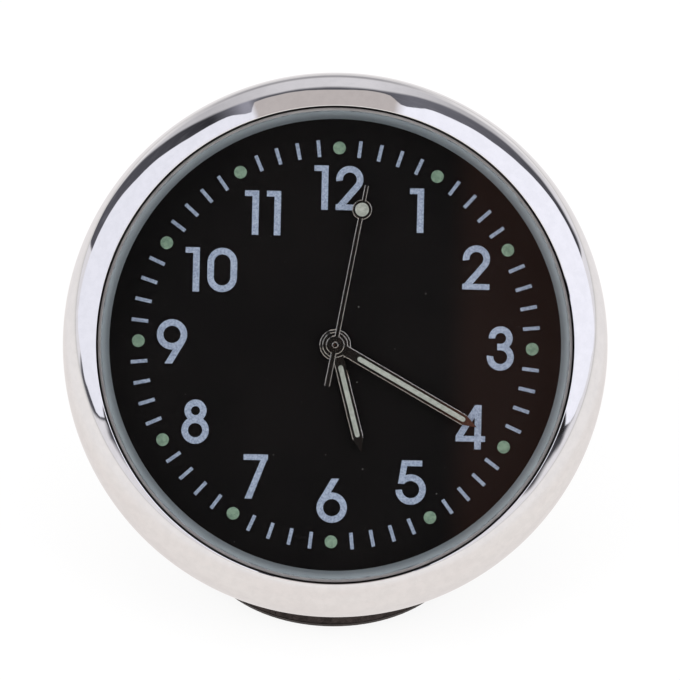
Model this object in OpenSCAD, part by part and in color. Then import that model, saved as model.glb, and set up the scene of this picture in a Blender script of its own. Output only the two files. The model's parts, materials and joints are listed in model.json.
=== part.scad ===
// Car dashboard clock: a chromed ball on a stick-on pad, with a quartz insert that pulls out of its front.
// Millimetres, +Z up. The origin is the middle of the pad's sticking face, and the dial faces -Y.
// The clock's own frame has its origin at the ball's centre, X to 3 o'clock, Y to 12 and Z out of the dial.

/* [Housing] */
// Diameter of the ball-shaped housing
ball_d = 43; // [38:0.5:50]
// Width of the bezel, from the outside of the ball to the bore
bezel_w = 2.75; // [2.2:0.05:3.4]
// Angle that the dial leans back from upright
lean = 37; // [25:1:50]
// Wall of the rear bowl
bowl_wall = 1.8; // [1.2:0.1:2.6]
// Radius of the bezel's round section
bezel_round = 3.95; // [3.5:0.05:4.6]
// Chamfer on the bezel's inner lip
lip_chamfer = 0.12; // [0.05:0.01:0.25]
// Wall of the bezel's spigot, which drops into the bowl
spigot_wall = 0.78; // [0.5:0.02:1.1]
// Diameter of the foam pad and of the flat that it sticks to
pad_d = 21; // [16:0.5:25]
// Thickness of the foam pad
foam_t = 1.2; // [0.6:0.1:2]
// Thickness of the adhesive film under the foam
film_t = 0.2; // [0.1:0.05:0.4]

/* [Insert] */
// Thickness of the crystal
crystal_t = 1.5; // [1:0.1:2]
// Chamfer on the crystal's front edge
crystal_chamfer = 0.2; // [0.1:0.05:0.4]
// How far the crystal sits behind the bezel's lip
crystal_sink = 0.4; // [0.1:0.05:0.8]
// Room for the hands between the dial and the crystal
hand_room = 2.4; // [2.2:0.1:3.5]
// Width of the reflector ring at the dial
ring_w = 0.76; // [0.5:0.02:1.2]
// Width of the reflector ring at the crystal
ring_top_w = 0.25; // [0.1:0.01:0.45]
// Rim of the flange outside the dial
dial_rim = 0.4; // [0.3:0.05:0.5]
// Thickness of the dial
dial_t = 0.4; // [0.3:0.05:0.6]
// Thickness of the insert's flange
flange_t = 0.8; // [0.6:0.05:1.2]
// Width of the flange outside the rear can
flange_w = 3.4; // [3.1:0.1:4.4]
// Wall of the rear can
can_wall = 0.9; // [0.8:0.05:1.3]
// Thickness of the snap-in back
back_t = 0.7; // [0.5:0.05:1.2]
// Height of the rubber grip ring over the can, to the tops of its ribs
grip_h = 1; // [0.7:0.05:1.3]
// Ribs on the grip ring
grip_ribs = 3; // [2:1:4]

/* [Dial print] */
// Height of the numerals
numeral_h = 3.5; // [2.6:0.1:4]
// Stroke of the numerals
stroke = 0.52; // [0.35:0.01:0.65]
// Distance from the dots' ring in to the numerals' ring, at 12 o'clock
numeral_inset = 3.15; // [2.9:0.05:3.6]
// Gap between the two figures of 10, 11 and 12
figure_gap = 0.62; // [0.4:0.02:0.9]
// Distance from the reflector ring in to the ring of luminous dots
dot_inset = 2.29; // [1.7:0.01:2.6]
// Diameter of a luminous dot
dot_d = 1.02; // [0.7:0.02:1.3]
// Length of a minute mark
mark_l = 1.32; // [0.8:0.02:1.5]
// Width of a minute mark
mark_w = 0.28; // [0.15:0.01:0.4]
// Thickness of the print
print_t = 0.04; // [0.02:0.01:0.08]

/* [Hands] */
// Second hand's angle from 12
second_angle = 10; // [0:1:359]
// Minute hand's angle from 12
minute_angle = 119; // [0:1:359]
// Hour hand's angle from 12
hour_angle = 165; // [0:1:359]
// Length of the hour hand
hour_l = 8.7; // [7:0.1:11]
// Length of the minute hand
minute_l = 12.9; // [11:0.1:14.5]
// Length of the second hand
second_l = 12.8; // [11.8:0.05:16]
// Length of the second hand's tail
tail_l = 3.3; // [2:0.1:5]
// Width of the hour and minute hands
hand_w = 0.88; // [0.74:0.02:1.2]
// Length of the hands' pointed tips
tip_l = 1.2; // [0.6:0.1:2]
// Width of the luminous strips
strip_w = 0.40; // [0.3:0.02:0.52]
// Thickness of the hands
hand_t = 0.15; // [0.1:0.01:0.18]
// Width of the bright bevel along the hands' edges
bevel = 0.06; // [0.04:0.01:0.1]
// Height of the hour hand above the dial
hour_lift = 0.5; // [0.4:0.05:0.6]
// Rise from one hand to the next
hand_rise = 0.4; // [0.35:0.05:0.5]
// Distance of the second hand's luminous ring from the centre
ring_at = 10.86; // [9:0.02:11]
// Outer radius of that ring
ring_r = 0.78; // [0.65:0.01:0.95]
// Radius of the luminous fill in that ring
ring_fill_r = 0.55; // [0.4:0.01:0.6]

/* [Movement] */
// Rim of the main plate outside the battery, the coil and the clip's post
plate_rim = 0.5; // [0.3:0.05:1]
// Floor of the main plate under the motion work
plate_t = 1.2; // [1.1:0.05:1.6]
// Room in front of that floor for the motion work
motion_room = 0.8; // [0.8:0.05:1.1]
// Room behind the plate for the going train
train_room = 1.4; // [1.4:0.05:2]
// Thickness of the train bridge
bridge_t = 0.5; // [0.35:0.05:0.8]
// Diameter of the button battery
battery_d = 6.8; // [6:0.1:6.8]
// Thickness of the button battery
battery_t = 2.6; // [2.1:0.1:3]
// Diameter of the coil
coil_d = 2; // [1.6:0.1:2.2]
// Length of the coil
coil_l = 6.4; // [5:0.1:6.8]
// Length of the quartz crystal's can
quartz_l = 5; // [4:0.1:6]
// Diameter of the quartz crystal's can
quartz_d = 1.5; // [1:0.1:1.6]
// Module of the wheels' teeth in the middle of the train
train_mod = 0.09; // [0.08:0.005:0.09]

/* [Setting] */
// Diameter of the crown
crown_d = 2.4; // [1.8:0.1:2.6]
// Length of the crown
crown_l = 1.9; // [1.2:0.1:2]
// Diameter of the stem
stem_d = 0.8; // [0.6:0.05:0.9]
// How far the crown pulls out to set the time
crown_travel = 1; // [0.8:0.05:1]

/* [Clearances] */
// Gap round the insert inside the bezel
insert_gap = 0.15; // [0.12:0.01:0.35]
// Gap round the grip ring in the socket
grip_gap = 0.1; // [0.05:0.01:0.2]
// Gap between pieces that are fixed together
seat_gap = 0.05; // [0.02:0.01:0.1]
// Radial gap of a pivot or tube that turns
run_gap = 0.04; // [0.02:0.005:0.06]
// Air between moving pieces
air = 0.1; // [0.08:0.01:0.12]

/* [Hidden] */
$fn = 96;
// Overshoot of a cut past the face that it opens
cut = 1;

// Housing
ball_r = ball_d / 2;
pad_r = pad_d / 2;
flat_drop = sqrt(ball_r ^ 2 - pad_r ^ 2);
ball_h = film_t + foam_t + flat_drop;
bore_r = ball_r - bezel_w;
round_c = ball_r - bezel_round;
lip_z = sqrt(bezel_round ^ 2 - (bore_r - round_c) ^ 2);
spigot_r = bore_r + spigot_wall;

// Levels of the insert, from the crystal backwards
crystal_z = lip_z - crystal_sink;
glass_back_z = crystal_z - crystal_t;
dial_z = glass_back_z - hand_room;
dial_back_z = dial_z - dial_t;
shelf_z = dial_back_z - flange_t;
motion_z = dial_back_z - motion_room;
plate_back_z = motion_z - plate_t;
bridge_z = plate_back_z - train_room;
bridge_back_z = bridge_z - bridge_t;
contact_t = 0.12;
pocket_depth = 0.6;
battery_back_z = plate_back_z + pocket_depth - battery_t;
clip_t = 0.15;
clip_back_z = battery_back_z - clip_t;
screw_head_t = 0.3;
back_in_z = min(bridge_back_z, clip_back_z) - screw_head_t - air;
back_z = back_in_z - back_t;

// Insert
flange_r = bore_r - insert_gap;
window_r = flange_r - ring_w;
window_top_r = flange_r - ring_top_w;
dial_r = flange_r - dial_rim;
can_r = flange_r - flange_w;
can_in_r = can_r - can_wall;
grip_r = can_r + grip_h;
socket_r = grip_r + grip_gap;
groove_depth = 0.3;
gasket_t = 0.2;
gasket_w = 0.4;
gasket_r = can_r - can_wall / 2;
coin_slot = [9, 1.2, 0.35];

// Setting
crown_r = crown_d / 2;
stem_r = stem_d / 2;
stem_floor = 0.1;
stem_depth = plate_t - stem_r - stem_floor;
stem_z = motion_z - stem_depth;
crown_x = flange_r - crown_travel - crown_l;
crown_notch_w = crown_d + 2;
crown_recess = crown_r + air;
clutch_r = stem_depth - air / 2;
clutch_l = 0.8;
clutch_teeth = 10;
tube_wall = 0.3;
tube_l = 1.6;
groove_r = stem_r - 0.15;
groove_w = 0.34;
lever_pin_r = groove_w / 2 - run_gap;
lever_t = 0.2;
lever_w = 1.1;
lever_l = 2;
crown_teeth = 24;
grip_top_z = stem_z - crown_r - 2 * air;
back_lip = 0.3;
grip_bottom_z = back_in_z + back_lip;
shelf_back_z = grip_bottom_z - air;
rib_r = 0.2;

// Tooth shape shared by all wheels, as shares of the module and of one tooth's pitch
addendum = 0.8;
dedendum = 1.2;
tooth_foot = 0.27;
tooth_tip = 0.11;

// Numbers of teeth
rotor_teeth = 8;
step_teeth = 48;
step_pinion_teeth = 10;
seconds_teeth = 50;
seconds_pinion_teeth = 8;
third_teeth = 64;
third_pinion_teeth = 8;
centre_teeth = 60;
cannon_teeth = 12;
minute_teeth = 36;
minute_pinion_teeth = 10;
hour_teeth = 40;
setting_teeth = 18;

// Modules: the wheels next to the motor and the motion work are a little coarser
// than the middle of the train, and two modules follow from a shared distance between axes
coarser = 0.01;
drive_mod = train_mod + coarser;
third_dist = (third_pinion_teeth + centre_teeth) * train_mod / 2;
second_mod = 2 * third_dist / (seconds_pinion_teeth + third_teeth);
step_dist = (step_pinion_teeth + seconds_teeth) * drive_mod / 2;
rotor_dist = (rotor_teeth + step_teeth) * train_mod / 2;
minute_dist = (cannon_teeth + minute_teeth) * drive_mod / 2;
hour_mod = 2 * minute_dist / (minute_pinion_teeth + hour_teeth);
setting_dist = (minute_teeth + setting_teeth) * drive_mod / 2;

// Directions from one axis to the next, and the axes themselves
third_dir = 100;
step_dir = 240;
rotor_dir = 210;
third_at = third_dist * [cos(third_dir), sin(third_dir)];
step_at = step_dist * [cos(step_dir), sin(step_dir)];
rotor_at = step_at + rotor_dist * [cos(rotor_dir), sin(rotor_dir)];
minute_at = [minute_dist, 0];
setting_at = [minute_dist + setting_dist, 0];
setting_tip_r = tip_r(setting_teeth, drive_mod);
clutch_x = setting_at[0] - setting_tip_r - crown_travel - air;
lever_x = setting_at[0] + setting_tip_r + 0.5;

// Where a tooth of each wheel points, so that every pair is in mesh
step_pinion_turn = mesh_turn(step_dir, 0, seconds_teeth, step_pinion_teeth);
rotor_turn = mesh_turn(rotor_dir, 0, step_teeth, rotor_teeth);
third_turn = mesh_turn(third_dir, 0, seconds_pinion_teeth, third_teeth);
centre_turn = mesh_turn(third_dir + 180, 0, third_pinion_teeth, centre_teeth);
minute_turn = mesh_turn(0, 0, cannon_teeth, minute_teeth);
hour_turn = mesh_turn(180, 0, minute_pinion_teeth, hour_teeth);
setting_turn = mesh_turn(0, minute_turn, minute_teeth, setting_teeth);

// Arbors and tubes on the centre axis
arbor_r = 0.14;
cannon_r = 0.4;
hour_tube_r = 0.72;
pivot_r = 0.12;
pivot_l = 0.4;
post_r = 0.2;

// Depth of each wheel behind the main plate: start and thickness
wheel_t = 0.2;
centre_depth = 0.2;
third_pinion_depth = 0.15;
pinion_t = 0.35;
third_depth = 0.6;
seconds_pinion_depth = 0.55;
seconds_depth = 0.95;
step_pinion_depth = 0.9;
step_pinion_t = 0.3;
magnet_depth = 0.1;
magnet_t = 0.4;
magnet_r = 0.6;

// Height of each wheel above the floor of the motion work
minute_wheel_h = 0.1;
cannon_pinion_h = 0.05;
cannon_pinion_t = 0.3;
minute_pinion_t = 0.4;
hour_wheel_h = 0.4;
setting_wheel_h = 0.05;
setting_wheel_t = 0.3;

// Places in the movement
screw_at = [[3.4, 5.2], [-4.2, 5.9], [-7.2, -2.1]];
clip_post_at = [8.3, 3.4];
pillar_r = 0.7;
screw_head_r = 0.62;
screw_r = 0.3;
screw_slot = 0.18;
battery_at = [4.8, -4.2];
core_l = coil_l + 2.2;
core_w = 0.9;
core_t = 0.4;
core_tab_r = 0.9;
core_reach = [core_l / 2 - core_tab_r, 0];
stator_t = 0.3;
stator_depth = 0.1;
stator_boss_r = 1.5;
stator_arm_w = 1.3;
stator_hole_r = magnet_r + 0.25;
coil_gap = 0.14;
coil_at = [-3.35, rotor_at[1] - stator_boss_r - coil_gap - coil_d / 2];
core_depth = stator_depth + stator_t;
coil_depth = core_depth + core_t / 2;
board_at = [-6.7, 2];
board_w = 3.6;
board_h = 6.2;
board_t = 0.3;
chip = [1.4, 1.6, 0.5];
chip_at = board_at + [1, 0.4];
quartz_x = -7.6;
foot_r = 0.3;
foot_l = 1.2;
foot_ring_r = 8.6;
foot_dir = 30;
bridge_boss_r = 1;
bridge_arm_w = 1.7;
clip_w = 1.4;
contact = [4, 1.6];

// The main plate takes in the battery, the coil and the clip's post
plate_r = max(norm(battery_at) + battery_d / 2, norm(coil_at - core_reach) + core_tab_r) + plate_rim;
plate_w = 2 * (clip_post_at[0] + pillar_r + plate_rim);
plate_h = 2 * (coil_d / 2 - coil_at[1] + plate_rim);

// Dial
dots = 12;
marks = 60;
dot_ring_r = window_r - dot_inset;
numeral_r = dot_ring_r - numeral_inset;
dot_t = print_t + 0.02;
mark_r = dot_ring_r - 0.01 - mark_l / 2;
// How far each numeral stands outside the ring, from 12 o'clock round
numeral_shift = [0, 0, 0.3, 0.65, 0.1, 0, -0.1, -0.25, 0.2, 0.5, -0.95, -0.5];
bar_h = stroke * 0.87;
one_w = stroke + 0.6;
round_figure_r = numeral_h * 0.306;
nought_r = numeral_h * 0.335;
small_bowl_r = numeral_h * 0.25;
big_bowl_r = numeral_h * 0.343;
figure_w = [2 * nought_r, one_w, 2 * round_figure_r];

// Hands
hour_hand_z = dial_z + hour_lift;
minute_hand_z = hour_hand_z + hand_rise;
second_hand_z = minute_hand_z + hand_rise;
hour_hub_r = 1.24;
minute_hub_r = 1.02;
second_hub_r = 0.73;
second_pin_r = 0.25;
second_pin_t = 0.3;
second_w = 0.38;
second_tip_w = 0.32;
second_tail_w = 0.44;
tube_top = 0.05;
hour_strip = [1.65, hour_l - tip_l];
minute_strip = [2.05, minute_l - tip_l + 0.15];
lume_gap = 0.01;

// Tooth angle of gear B that meshes with gear A, in direction dir from A
function mesh_turn(dir, turn_a, teeth_a, teeth_b) =
    dir + 180 - (0.5 - (dir - turn_a) * teeth_a / 360) * 360 / teeth_b;

// Radius over the tips of a gear
function tip_r(teeth, mod) = teeth * mod / 2 + addendum * mod;

// Stands the clock's own frame on its pad, leaning back
module on_clock() {
    translate([0, 0, ball_h]) rotate([90 - lean, 0, 0]) children();
}

// Turns something built along Z to run along the stem
module on_stem(x) {
    translate([x, 0, stem_z]) rotate([0, 90, 0]) children();
}

// Places something at a point in the movement
module at(p, z) {
    translate([p[0], p[1], z]) children();
}

module disc(r, from_z, to_z) {
    translate([0, 0, min(from_z, to_z)]) cylinder(r = r, h = abs(to_z - from_z));
}

module tube(outer_r, inner_r, from_z, to_z) {
    difference() {
        disc(outer_r, from_z, to_z);
        disc(inner_r, min(from_z, to_z) - cut, max(from_z, to_z) + cut);
    }
}

// Flat bar with square ends from a to b
module arm(a, b, w) {
    run = b - a;
    translate(a) rotate(atan2(run[1], run[0])) translate([0, -w / 2]) square([norm(run), w]);
}

// Flat bar with round ends from a to b
module link(a, b, w) {
    arm(a, b, w);
    translate(a) circle(d = w);
    translate(b) circle(d = w);
}

// Gear outline with trapezoid teeth
module gear_2d(teeth, mod, turn = 0) {
    root = teeth * mod / 2 - dedendum * mod;
    tip = tip_r(teeth, mod);
    corners = [[root, -tooth_foot], [tip, -tooth_tip], [tip, tooth_tip], [root, tooth_foot]];
    polygon([for (i = [0 : teeth - 1], c = corners)
        let (a = turn + (i + c[1]) * 360 / teeth)
        c[0] * [cos(a), sin(a)]]);
}

module gear(teeth, mod, turn, from_z, thickness) {
    translate([0, 0, from_z]) linear_extrude(thickness) gear_2d(teeth, mod, turn);
}

// Wheel behind the main plate, by its depth there
module train_gear(teeth, mod, turn, depth, thickness) {
    gear(teeth, mod, turn, plate_back_z - depth - thickness, thickness);
}

// Arbor of a train wheel, from its hole in the plate to its hole in the bridge
module train_arbor() {
    disc(pivot_r, plate_back_z + pivot_l - air, bridge_z - pivot_l + air);
}

// Outline of the main plate, grown by a gap
module plate_2d(gap) {
    intersection() {
        circle(r = plate_r + gap);
        square([plate_w + 2 * gap, plate_h + 2 * gap], center = true);
    }
}

// Housing

module rear_bowl() {
    on_clock() color("gainsboro") difference() {
        sphere(r = ball_r);
        disc(2 * ball_r, 0, 2 * ball_r);
        below_floor(flat_drop);
        disc(spigot_r + seat_gap, shelf_z, cut);
        disc(socket_r, shelf_back_z - cut, cut);
        bowl_cavity();
        crown_notch();
    }
}

// Everything lower than a level under the ball's centre, in the clock's own frame
module below_floor(drop) {
    rotate([lean - 90, 0, 0]) disc(2 * ball_r, -drop, -3 * ball_r);
}

module bowl_cavity() {
    difference() {
        sphere(r = ball_r - bowl_wall);
        disc(2 * ball_r, shelf_back_z, 2 * ball_r);
        below_floor(flat_drop - bowl_wall);
    }
}

// Way for the crown through the shelf
module crown_notch() {
    notch_x = crown_x + crown_l + crown_travel + 3 * air;
    notch_z = stem_z - crown_recess;
    translate([0, -crown_notch_w / 2, notch_z]) cube([notch_x, crown_notch_w, cut - notch_z]);
}

module front_bezel() {
    on_clock() color("gainsboro") {
        rotate_extrude() {
            difference() {
                intersection() {
                    translate([round_c, 0]) circle(r = bezel_round);
                    translate([bore_r, 0]) square([ball_r, ball_r]);
                }
                translate([bore_r, lip_z]) rotate(45) square(lip_chamfer * sqrt(2), center = true);
            }
            translate([bore_r, shelf_z]) square([spigot_wall, -shelf_z]);
        }
    }
}

module foam_pad() {
    color([0.16, 0.14, 0.13]) disc(pad_r, film_t, film_t + foam_t);
}

module adhesive_film() {
    color([0.2, 0.17, 0.16]) disc(pad_r - seat_gap, 0, film_t);
}

// Insert

module crystal() {
    on_clock() color([0.85, 0.92, 0.95, 0.35]) {
        disc(flange_r, glass_back_z, crystal_z - crystal_chamfer);
        translate([0, 0, crystal_z - crystal_chamfer])
            cylinder(r1 = flange_r, r2 = flange_r - crystal_chamfer, h = crystal_chamfer);
    }
}

module reflector_ring() {
    on_clock() color([0.45, 0.48, 0.49]) difference() {
        disc(flange_r, dial_z, glass_back_z);
        translate([0, 0, dial_z]) cylinder(r1 = window_r, r2 = window_top_r, h = hand_room);
    }
}

module dial() {
    on_clock() color([0.09, 0.08, 0.08]) {
        tube(dial_r, hour_tube_r + air, dial_back_z, dial_z);
        for (turn = [0, 180])
            rotate(turn + foot_dir) translate([foot_ring_r, 0])
                disc(foot_r, dial_back_z - foot_l, dial_back_z);
    }
}

module dial_numerals() {
    on_clock() color([0.72, 0.74, 0.82]) translate([0, 0, dial_z]) linear_extrude(print_t)
        for (hour = [0 : dots - 1])
            let (r = numeral_r + numeral_shift[hour])
            translate(r * [sin(hour * 360 / dots), cos(hour * 360 / dots)])
                numeral(hour == 0 ? dots : hour);
}

module minute_marks() {
    on_clock() color([0.72, 0.72, 0.76]) translate([0, 0, dial_z]) linear_extrude(print_t)
        for (i = [0 : marks - 1])
            if (i % (marks / dots) != 0)
                rotate(i * 360 / marks) translate([mark_r, -mark_w / 2]) square([mark_l, mark_w]);
}

module lume_dots() {
    on_clock() color([0.55, 0.68, 0.55]) translate([0, 0, dial_z])
        for (i = [0 : dots - 1])
            rotate(i * 360 / dots) translate([dot_ring_r, 0]) cylinder(d = dot_d, h = dot_t);
}

module insert_case() {
    on_clock() color([0.14, 0.14, 0.15]) difference() {
        union() {
            disc(flange_r, shelf_z, dial_z);
            disc(can_r, back_in_z, shelf_z);
        }
        disc(dial_r + seat_gap, dial_back_z, dial_z + cut);
        disc(can_in_r, back_in_z - cut, dial_z + cut);
        grip_groove();
        tube(gasket_r + gasket_w / 2, gasket_r - gasket_w / 2, back_in_z - cut, back_in_z + gasket_t);
        on_stem(0) cylinder(r = stem_r + run_gap + tube_wall, h = flange_r);
        crown_pocket();
    }
}

// Groove round the can for the grip ring, behind the crown
module grip_groove() {
    tube(2 * can_r, can_r - groove_depth, grip_bottom_z, grip_top_z);
}

// Recess under the flange that the crown stands in
module crown_pocket() {
    from_x = can_r;
    translate([from_x, -crown_notch_w / 2, shelf_z - cut])
        cube([flange_r, crown_notch_w, stem_z + crown_recess - shelf_z + cut]);
}

module case_back() {
    on_clock() color("silver") difference() {
        disc(can_r, back_z, back_in_z);
        translate([-coin_slot[0] / 2, -coin_slot[1] / 2, back_z - cut])
            cube([coin_slot[0], coin_slot[1], coin_slot[2] + cut]);
    }
}

module back_gasket() {
    half_w = gasket_w / 2 - seat_gap;
    on_clock() color([0.1, 0.1, 0.1])
        tube(gasket_r + half_w, gasket_r - half_w, back_in_z, back_in_z + gasket_t);
}

module grip_ring() {
    inner_r = can_r - groove_depth;
    band_r = grip_r - rib_r;
    height = grip_top_z - grip_bottom_z - 2 * seat_gap;
    pitch = (height - 2 * rib_r) / (grip_ribs - 1);
    on_clock() color([0.08, 0.08, 0.08]) rotate_extrude() {
        translate([inner_r, grip_bottom_z + seat_gap]) square([band_r - inner_r, height]);
        for (i = [0 : grip_ribs - 1])
            translate([band_r, grip_bottom_z + seat_gap + rib_r + i * pitch]) circle(r = rib_r);
    }
}

// Movement

module movement_holder() {
    on_clock() color([0.85, 0.85, 0.8]) difference() {
        translate([0, 0, back_in_z]) linear_extrude(dial_back_z - back_in_z) difference() {
            circle(r = can_in_r - seat_gap);
            plate_2d(seat_gap);
        }
        on_stem(0) cylinder(r = stem_r + run_gap + tube_wall + seat_gap, h = flange_r);
    }
}

module main_plate() {
    on_clock() color([0.6, 0.58, 0.52]) difference() {
        union() {
            translate([0, 0, plate_back_z]) linear_extrude(dial_back_z - plate_back_z) plate_2d(0);
            for (p = screw_at) at(p, 0) disc(pillar_r, bridge_z, plate_back_z);
            at(clip_post_at, 0) disc(pillar_r, battery_back_z, plate_back_z);
        }
        motion_recess();
        for (p = screw_at) at(p, 0) disc(screw_r, bridge_z - cut, plate_back_z);
        at(clip_post_at, 0) disc(screw_r, battery_back_z - cut, plate_back_z);
        disc(cannon_r + run_gap, plate_back_z - cut, dial_z);
        for (p = [third_at, step_at, rotor_at])
            at(p, 0) disc(pivot_r + run_gap, plate_back_z - cut, plate_back_z + pivot_l);
        at(battery_at, 0)
            disc(battery_d / 2 + air, plate_back_z - cut, plate_back_z + pocket_depth + contact_t);
        for (turn = [0, 180])
            rotate(turn + foot_dir) translate([foot_ring_r, 0])
                disc(foot_r + seat_gap, dial_back_z - foot_l - seat_gap, dial_z);
        coil_pocket();
        stem_way();
    }
    on_clock() color([0.6, 0.58, 0.52]) for (p = [minute_at, setting_at])
        at(p, 0) disc(post_r, motion_z, dial_back_z - air);
}

// Room on the dial side for the motion work
module motion_recess() {
    translate([0, 0, motion_z]) linear_extrude(motion_room + cut) {
        circle(r = tip_r(hour_teeth, hour_mod) + 2 * air);
        translate(minute_at) circle(r = tip_r(minute_teeth, drive_mod) + 2 * air);
        translate(setting_at) circle(r = tip_r(setting_teeth, drive_mod) + 2 * air);
    }
}

module coil_pocket() {
    pocket = [coil_l + 2 * air, coil_d + 2 * air];
    depth = coil_d / 2 - coil_depth + air;
    at(coil_at - pocket / 2, plate_back_z - cut) cube([pocket[0], pocket[1], depth + cut]);
}

// Bore for the stem, window for the clutch pinion and slot for the lever's pin
module stem_way() {
    window_l = clutch_l + crown_travel + 2 * air;
    window_w = 2 * clutch_r + 2 * air;
    on_stem(clutch_x) cylinder(r = stem_r + run_gap, h = plate_w);
    translate([clutch_x - air, -window_w / 2, plate_back_z - cut])
        cube([window_l, window_w, motion_z - plate_back_z + 2 * cut]);
    pin_half = lever_pin_r + air;
    translate([lever_x - pin_half, -pin_half, plate_back_z - cut])
        cube([crown_travel + 2 * pin_half, 2 * pin_half, stem_z - plate_back_z + cut]);
}

module train_bridge() {
    on_clock() color([0.78, 0.76, 0.7]) translate([0, 0, bridge_back_z]) linear_extrude(bridge_t)
        difference() {
            bridge_arms_2d();
            for (p = screw_at) translate(p) circle(r = screw_r);
            for (p = [third_at, step_at, rotor_at]) translate(p) circle(r = pivot_r + run_gap);
            circle(r = arbor_r + run_gap);
        }
}

module bridge_arms_2d() {
    arm([0, 0], third_at, bridge_arm_w);
    arm([0, 0], step_at, bridge_arm_w);
    arm(step_at, rotor_at, bridge_arm_w);
    arm(third_at, screw_at[0], bridge_arm_w);
    arm(third_at, screw_at[1], bridge_arm_w);
    arm(rotor_at, screw_at[2], bridge_arm_w);
    for (p = concat([[0, 0], third_at, step_at, rotor_at], screw_at)) translate(p) circle(r = bridge_boss_r);
}

module movement_screws() {
    on_clock() color("lightsteelblue") {
        for (p = screw_at) at(p, bridge_back_z) screw(plate_back_z - bridge_back_z);
        at(clip_post_at, clip_back_z) screw(plate_back_z - clip_back_z);
    }
}

// Slotted screw with its head below z = 0
module screw(shank_l) {
    difference() {
        union() {
            disc(screw_head_r, -screw_head_t, 0);
            disc(screw_r, 0, shank_l);
        }
        translate([-screw_head_r - cut, -screw_slot / 2, -screw_head_t - cut])
            cube([2 * screw_head_r + 2 * cut, screw_slot, screw_head_t / 2 + cut]);
    }
}

module coil_core() {
    on_clock() color([0.5, 0.5, 0.52]) translate([0, 0, plate_back_z - core_depth - core_t])
        linear_extrude(core_t) {
            link(coil_at - core_reach, coil_at + core_reach, core_w);
            for (end = [coil_at - core_reach, coil_at + core_reach]) translate(end) circle(r = core_tab_r);
        }
}

module coil_winding() {
    on_clock() color([0.72, 0.4, 0.2]) at(coil_at, plate_back_z - coil_depth) rotate([0, 90, 0])
        difference() {
            cylinder(d = coil_d, h = coil_l - 2 * core_tab_r, center = true);
            cube([core_t, core_w, core_l], center = true);
        }
}

module stator() {
    on_clock() color([0.62, 0.62, 0.64]) translate([0, 0, plate_back_z - core_depth]) linear_extrude(stator_t)
        difference() {
            union() {
                translate(rotor_at) circle(r = stator_boss_r);
                for (end = [coil_at - core_reach, coil_at + core_reach]) {
                    elbow = [end[0], rotor_at[1]];
                    link(rotor_at, elbow, stator_arm_w);
                    link(elbow, end, stator_arm_w);
                    translate(end) circle(r = core_tab_r);
                }
            }
            translate(rotor_at) circle(r = stator_hole_r);
        }
}

module circuit_board() {
    on_clock() color([0.1, 0.3, 0.18]) at(board_at, plate_back_z - board_t)
        linear_extrude(board_t) square([board_w, board_h], center = true);
}

module timing_chip() {
    on_clock() color([0.07, 0.07, 0.08]) at(chip_at, plate_back_z - board_t - chip[2])
        linear_extrude(chip[2]) square([chip[0], chip[1]], center = true);
}

module quartz_can() {
    on_clock() color("silver") at([quartz_x, board_at[1]], plate_back_z - board_t - quartz_d / 2)
        rotate([90, 0, 0]) cylinder(d = quartz_d, h = quartz_l, center = true);
}

module battery() {
    cap_t = 0.6;
    cap_r = battery_d / 2 - 0.45;
    on_clock() color("silver") at(battery_at, 0) {
        disc(battery_d / 2, battery_back_z, battery_back_z + battery_t - cap_t);
        disc(cap_r, battery_back_z + battery_t - cap_t, battery_back_z + battery_t);
    }
}

module battery_clip() {
    on_clock() color("goldenrod") translate([0, 0, clip_back_z]) linear_extrude(clip_t) difference() {
        link(clip_post_at, battery_at, clip_w);
        translate(clip_post_at) circle(r = screw_r);
    }
}

module battery_contact() {
    on_clock() color("goldenrod") at(battery_at, battery_back_z + battery_t)
        linear_extrude(contact_t) square(contact, center = true);
}

// Hands and the wheels that carry them

// Blade along +Y with bevelled edges and a pointed or square end
module blade(from_y, to_y, w, tip) {
    half = w / 2;
    shoulder = hand_t - bevel * 0.8;
    section = [[-half, 0], [half, 0], [half, shoulder], [half - bevel, hand_t], [bevel - half, hand_t],
        [-half, shoulder]];
    intersection() {
        translate([0, to_y, 0]) rotate([90, 0, 0]) linear_extrude(to_y - from_y) polygon(section);
        linear_extrude(hand_t)
            polygon([[-half, from_y], [half, from_y], [half, to_y - tip], [0, to_y], [-half, to_y - tip]]);
    }
}

// Round boss of a hand, with the same bevel
module hub(r, top = hand_t) {
    disc(r, 0, top - bevel * 0.8);
    translate([0, 0, top - bevel * 0.8]) cylinder(r1 = r, r2 = r - bevel, h = bevel * 0.8);
}

// Outline of a luminous strip
module strip_2d(ends, w) {
    half = w / 2;
    link([0, ends[0] + half], [0, ends[1] - half], w);
}

module pointed_hand(length, hub_r, bore_r, strip) {
    difference() {
        union() {
            blade(0, length, hand_w, tip_l);
            hub(hub_r);
        }
        disc(bore_r, -cut, hand_t + cut);
        translate([0, 0, -cut]) linear_extrude(hand_t + 2 * cut) strip_2d(strip, strip_w);
    }
}

module hand_strip(strip) {
    linear_extrude(hand_t - lume_gap) strip_2d(strip + lume_gap * [1, -1], strip_w - 2 * lume_gap);
}

module hour_hand() {
    on_clock() color([0.32, 0.3, 0.28]) translate([0, 0, hour_hand_z]) rotate(-hour_angle)
        pointed_hand(hour_l, hour_hub_r, hour_tube_r, hour_strip);
}

module hour_hand_lume() {
    on_clock() color([0.85, 0.87, 0.8]) translate([0, 0, hour_hand_z]) rotate(-hour_angle)
        hand_strip(hour_strip);
}

module hour_wheel() {
    wheel_z = motion_z + hour_wheel_h;
    on_clock() color("khaki") difference() {
        union() {
            gear(hour_teeth, hour_mod, hour_turn, wheel_z, wheel_t);
            disc(hour_tube_r, wheel_z, hour_hand_z + hand_t + tube_top);
        }
        disc(cannon_r + run_gap, wheel_z - cut, hour_hand_z + hand_room);
    }
}

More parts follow.
